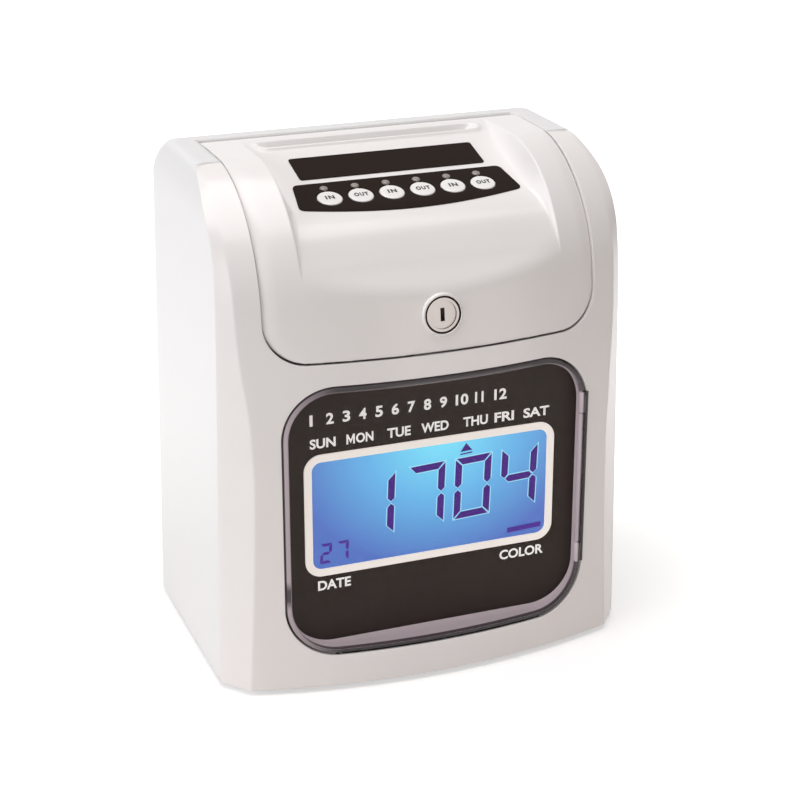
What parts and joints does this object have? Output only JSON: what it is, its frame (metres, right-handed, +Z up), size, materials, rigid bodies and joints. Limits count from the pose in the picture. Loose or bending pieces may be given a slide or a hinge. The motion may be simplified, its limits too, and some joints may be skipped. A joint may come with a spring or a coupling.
{
  "type": "time clock",
  "caption": "Desktop time recorder with a bowed white case, swing-up locking lid, sloped card slot and button deck, clear hinged door over a back-lit display, and a card printer inside.",
  "frame": {"origin": "on the surface that the feet stand on, at the middle of the case's width and depth", "axes": "+Z up, +X to the right seen from the front, +Y from the front to the back"},
  "size_m": [0.182, 0.122, 0.214],
  "materials": {
    "case_plastic": "smooth",
    "bezel_plastic": "smooth",
    "lid_plastic": "smooth",
    "clear_plastic": "clear",
    "fascia_black": "gloss",
    "label_black": "satin",
    "frame_white": "printed",
    "display_blue": "back-lit",
    "button_white": "smooth",
    "lens_clear": "clear",
    "nickel": "satin",
    "steel": "bright",
    "zinc_plate": "passivated",
    "base_paint": "satin",
    "rubber": "matte",
    "board_green": "lacquered",
    "nylon": "moulded",
    "brass": "turned",
    "printer_dark": "moulded",
    "ribbon_ink": "inked",
    "core_iron": "varnished"
  },
  "bodies": {
    "case": {"rear_casing": "case_plastic", "front_bezel": "bezel_plastic", "base_plate": "base_paint", "rubber_feet": "rubber", "case_screws": "steel", "display_fascia": "fascia_black", "lcd_frame": "frame_white", "lcd_glass": "display_blue", "lcd_backlight": "frame_white", "display_board": "board_green", "display_screws": "steel", "door_hinge_pin": "steel", "lock_keeper": "zinc_plate", "left_plate": "zinc_plate", "right_plate": "zinc_plate", "tie_rods": "steel", "chute_front": "zinc_plate", "chute_back": "zinc_plate", "card_stop": "printer_dark", "platen_bar": "rubber", "feed_motor": "steel", "guide_rods": "steel", "carriage_shelf": "zinc_plate", "carriage_motor": "steel", "carriage_belt": "rubber", "ribbon_cartridge": "printer_dark", "ribbon_band": "ribbon_ink", "transformer": "core_iron", "power_board": "board_green", "main_board": "board_green", "power_inlet": "printer_dark"},
    "lid": {"top_lid": "lid_plastic", "lid_hinge_pins": "steel", "strip_label": "label_black", "button_overlay": "label_black", "button_board": "board_green", "board_screws": "steel", "led_lenses": "lens_clear", "lock_body": "nickel", "lock_nut": "nickel"},
    "lock": {"lock_plug": "nickel", "lock_cam": "zinc_plate"},
    "door": {"clear_door": "clear_plastic"},
    "feed": {"feed_shaft": "steel", "feed_rollers": "rubber", "feed_gear": "nylon"},
    "pinion": {"motor_pinion": "brass"},
    "pinch": {"pinch_roller": "printer_dark"},
    "carriage": {"print_carriage": "printer_dark", "print_head": "printer_dark"},
    "pulley_left": {"drive_pulley": "nylon"},
    "pulley_right": {"idler_pulley": "nylon"},
    "knob": {"ribbon_knob": "printer_dark"},
    "button_1": {"mode_button_1": "button_white"},
    "button_2": {"mode_button_2": "button_white"},
    "button_3": {"mode_button_3": "button_white"},
    "button_4": {"mode_button_4": "button_white"},
    "button_5": {"mode_button_5": "button_white"},
    "button_6": {"mode_button_6": "button_white"}
  },
  "joints": [
    {"name": "lid_swing", "type": "hinge", "parent": "case", "child": "lid", "pos_m": [0, 0.0345, 0.209], "axis": [-1, 0, 0], "range_deg": [0, 88]},
    {"name": "lock_turn", "type": "hinge", "parent": "lid", "child": "lock", "pos_m": [0, -0.05567, 0.1595], "axis": [0, -0.9925, 0.1219], "range_deg": [0, 90]},
    {"name": "door_swing", "type": "hinge", "parent": "case", "child": "door", "pos_m": [0.0665, -0.0528, 0.077], "axis": [0, 0, 1], "range_deg": [0, 105]},
    {"name": "feed_turn", "type": "hinge", "parent": "case", "child": "feed", "pos_m": [0, 0.01725, 0.1145], "axis": [1, 0, 0], "continuous": true},
    {"name": "pinion_turn", "type": "hinge", "parent": "case", "child": "pinion", "pos_m": [0, 0.00028, 0.09753], "axis": [1, 0, 0], "continuous": true},
    {"name": "pinch_turn", "type": "hinge", "parent": "case", "child": "pinch", "pos_m": [0, 0.03275, 0.1145], "axis": [1, 0, 0], "continuous": true},
    {"name": "carriage_slide", "type": "slide", "parent": "case", "child": "carriage", "axis": [1, 0, 0], "range_m": [-0.024, 0.024]},
    {"name": "pulley_left_turn", "type": "hinge", "parent": "case", "child": "pulley_left", "pos_m": [-0.036, -0.026, 0.1431], "axis": [0, 0, 1], "range_deg": [-200, 200]},
    {"name": "pulley_right_turn", "type": "hinge", "parent": "case", "child": "pulley_right", "pos_m": [0.036, -0.026, 0.1431], "axis": [0, 0, 1], "range_deg": [-200, 200]},
    {"name": "knob_turn", "type": "hinge", "parent": "case", "child": "knob", "pos_m": [-0.025, 0, 0.1745], "axis": [0, 0, 1], "continuous": true},
    {"name": "button_1_press", "type": "slide", "parent": "lid", "child": "button_1", "axis": [0, 0.2756, -0.9613], "range_m": [0, 0.0012], "stiffness_N_per_m": 400, "springref_m": -0.001},
    {"name": "button_2_press", "type": "slide", "parent": "lid", "child": "button_2", "axis": [0, 0.2756, -0.9613], "range_m": [0, 0.0012], "stiffness_N_per_m": 400, "springref_m": -0.001},
    {"name": "button_3_press", "type": "slide", "parent": "lid", "child": "button_3", "axis": [0, 0.2756, -0.9613], "range_m": [0, 0.0012], "stiffness_N_per_m": 400, "springref_m": -0.001},
    {"name": "button_4_press", "type": "slide", "parent": "lid", "child": "button_4", "axis": [0, 0.2756, -0.9613], "range_m": [0, 0.0012], "stiffness_N_per_m": 400, "springref_m": -0.001},
    {"name": "button_5_press", "type": "slide", "parent": "lid", "child": "button_5", "axis": [0, 0.2756, -0.9613], "range_m": [0, 0.0012], "stiffness_N_per_m": 400, "springref_m": -0.001},
    {"name": "button_6_press", "type": "slide", "parent": "lid", "child": "button_6", "axis": [0, 0.2756, -0.9613], "range_m": [0, 0.0012], "stiffness_N_per_m": 400, "springref_m": -0.001}
  ],
  "couplings": [
    {"joint": "pinion_turn", "follows": "feed_turn", "ratio": -3},
    {"joint": "pinch_turn", "follows": "feed_turn", "ratio": -1.1429},
    {"joint": "pulley_left_turn", "follows": "carriage_slide", "rad_per_m": -144.93},
    {"joint": "pulley_right_turn", "follows": "carriage_slide", "rad_per_m": -144.93}
  ]
}
